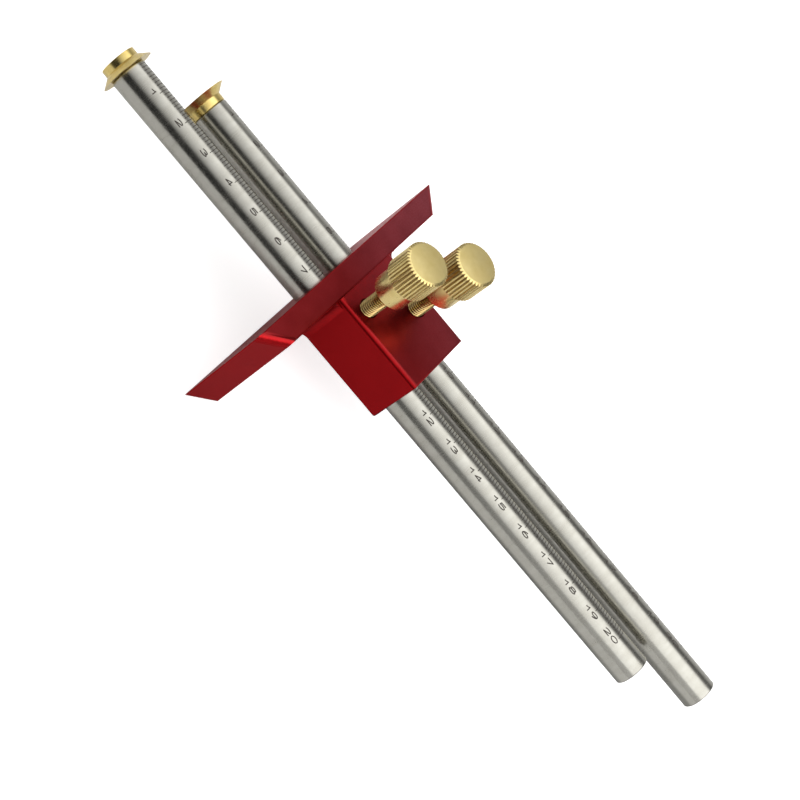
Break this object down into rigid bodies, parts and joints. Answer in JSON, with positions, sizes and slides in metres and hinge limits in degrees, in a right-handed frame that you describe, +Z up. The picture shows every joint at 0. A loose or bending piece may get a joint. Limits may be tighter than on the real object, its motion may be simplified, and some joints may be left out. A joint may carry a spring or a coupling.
{
  "type": "marking gauge",
  "caption": "Double-rod wheel marking gauge: two graduated steel rods with round cutting wheels slide through a red anodised fence and lock with brass thumbscrews.",
  "frame": {"origin": "on the fence's working face, midway between the two rods, level with their axes", "axes": "+X along the rods, from the cutting wheels towards their free ends; +Z up, the way the thumbscrews point; +Y from the front rod to the rear rod"},
  "size_m": [0.2354, 0.0886, 0.0639],
  "materials": {
    "red_anodised": "red anodised, satin",
    "steel_rod": "centreless ground stainless steel with laser-marked scale",
    "gold_wheel": "hardened steel with a gold coloured nitride coat",
    "dark_screw": "black oxide",
    "brass": "turned brass, straight knurl",
    "pad_brass": "turned brass",
    "scale_marks": "laser-marked graduations and numerals"
  },
  "bodies": {
    "fence": {"fence_body": "red_anodised"},
    "front_rod": {"front_rod": "steel_rod", "front_wheel_screw": "dark_screw"},
    "rear_rod": {"rear_rod": "steel_rod", "rear_wheel_screw": "dark_screw"},
    "front_wheel": {"front_wheel": "gold_wheel"},
    "rear_wheel": {"rear_wheel": "gold_wheel"},
    "front_pad": {"front_clamp_pad": "pad_brass"},
    "rear_pad": {"rear_clamp_pad": "pad_brass"},
    "front_thumbscrew": {"front_thumbscrew": "brass"},
    "rear_thumbscrew": {"rear_thumbscrew": "brass"}
  },
  "joints": [
    {"name": "front_rod_slide", "type": "slide", "parent": "fence", "child": "front_rod", "axis": [1, 0, 0], "range_m": [-0.095, 0.008]},
    {"name": "rear_rod_slide", "type": "slide", "parent": "fence", "child": "rear_rod", "axis": [1, 0, 0], "range_m": [-0.008, 0.053]},
    {"name": "front_wheel_turn", "type": "hinge", "parent": "front_rod", "child": "front_wheel", "pos_m": [-0.076, -0.007, 0], "axis": [1, 0, 0], "continuous": true},
    {"name": "rear_wheel_turn", "type": "hinge", "parent": "rear_rod", "child": "rear_wheel", "pos_m": [-0.0554, 0.007, 0], "axis": [1, 0, 0], "continuous": true},
    {"name": "front_pad_rise", "type": "slide", "parent": "fence", "child": "front_pad", "axis": [0, 0, 1], "range_m": [0, 0.00401]},
    {"name": "front_screw_turn", "type": "hinge", "parent": "front_pad", "child": "front_thumbscrew", "pos_m": [0.0137, -0.007, 0.0122], "axis": [0, 0, 1], "range_deg": [0, 1800]},
    {"name": "rear_pad_rise", "type": "slide", "parent": "fence", "child": "rear_pad", "axis": [0, 0, 1], "range_m": [0, 0.00401]},
    {"name": "rear_screw_turn", "type": "hinge", "parent": "rear_pad", "child": "rear_thumbscrew", "pos_m": [0.0224, 0.007, 0.0122], "axis": [0, 0, 1], "range_deg": [0, 1800]}
  ],
  "couplings": [
    {"joint": "front_pad_rise", "follows": "front_screw_turn", "m_per_rad": 0.00012732},
    {"joint": "rear_pad_rise", "follows": "rear_screw_turn", "m_per_rad": 0.00012732}
  ]
}
